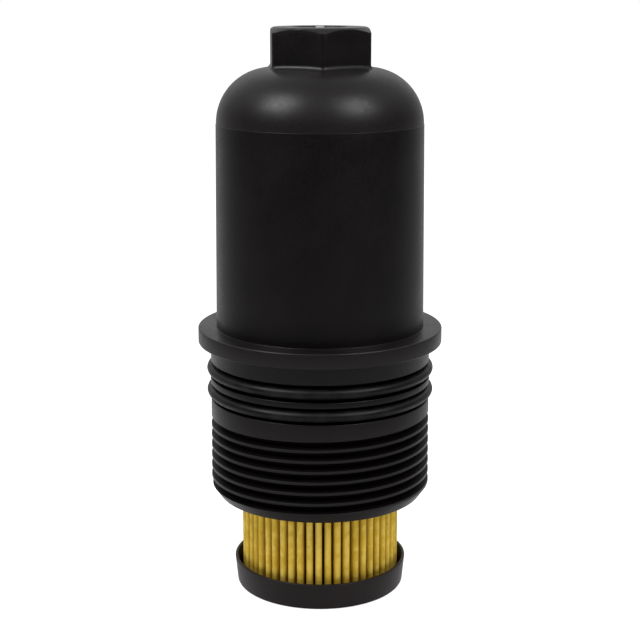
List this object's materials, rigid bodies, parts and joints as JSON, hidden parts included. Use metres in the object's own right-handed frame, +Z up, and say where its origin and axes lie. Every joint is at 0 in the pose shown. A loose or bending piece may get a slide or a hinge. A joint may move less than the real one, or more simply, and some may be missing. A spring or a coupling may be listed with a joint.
{
  "type": "oil filter",
  "caption": "Screw-on oil filter: black moulded hex-head cap with flange, O-rings and external thread, carrying a bypass valve and a pleated paper cartridge element.",
  "frame": {"origin": "centre of the lower end cap's flat base, the face that the assembly stands on", "axes": "+Z up along the filter's axis, from the element's foot to the wrench hexagon; +X out through one flat of the hexagon"},
  "size_m": [0.0824, 0.0824, 0.1907],
  "materials": {
    "black_plastic": "satin black glass-filled nylon, as moulded",
    "dark_plastic": "plain dark grey nylon, as moulded",
    "seal_rubber": "smooth oiled black rubber",
    "filter_paper": "matt yellow resin-treated filter paper",
    "adhesive": "cured amber adhesive",
    "steel": "bright drawn steel"
  },
  "bodies": {
    "cap": {"cap_housing": "black_plastic", "upper_o_ring": "seal_rubber", "lower_o_ring": "seal_rubber"},
    "carrier": {"valve_carrier": "dark_plastic", "carrier_o_ring": "seal_rubber", "valve_seat_ring": "steel", "spring_retainer": "dark_plastic", "bypass_spring": "steel"},
    "valve": {"bypass_valve_plate": "dark_plastic", "bypass_valve_seal": "seal_rubber"},
    "element": {"pleated_media": "filter_paper", "media_seam_strip": "steel", "centre_tube": "dark_plastic", "upper_end_cap": "black_plastic", "lower_end_cap": "black_plastic", "outlet_seal_ring": "seal_rubber", "upper_adhesive": "adhesive", "lower_adhesive": "adhesive"}
  },
  "joints": [
    {"name": "carrier_spin", "type": "hinge", "parent": "cap", "child": "carrier", "pos_m": [0, 0, 0.165], "axis": [0, 0, 1], "continuous": true},
    {"name": "element_pull_off", "type": "slide", "parent": "carrier", "child": "element", "axis": [0, 0, -1], "range_m": [0, 0.125]},
    {"name": "bypass_valve_lift", "type": "slide", "parent": "carrier", "child": "valve", "axis": [0, 0, -1], "range_m": [0, 0.004], "stiffness_N_per_m": 2500, "deforming": ["bypass_spring"]}
  ]
}
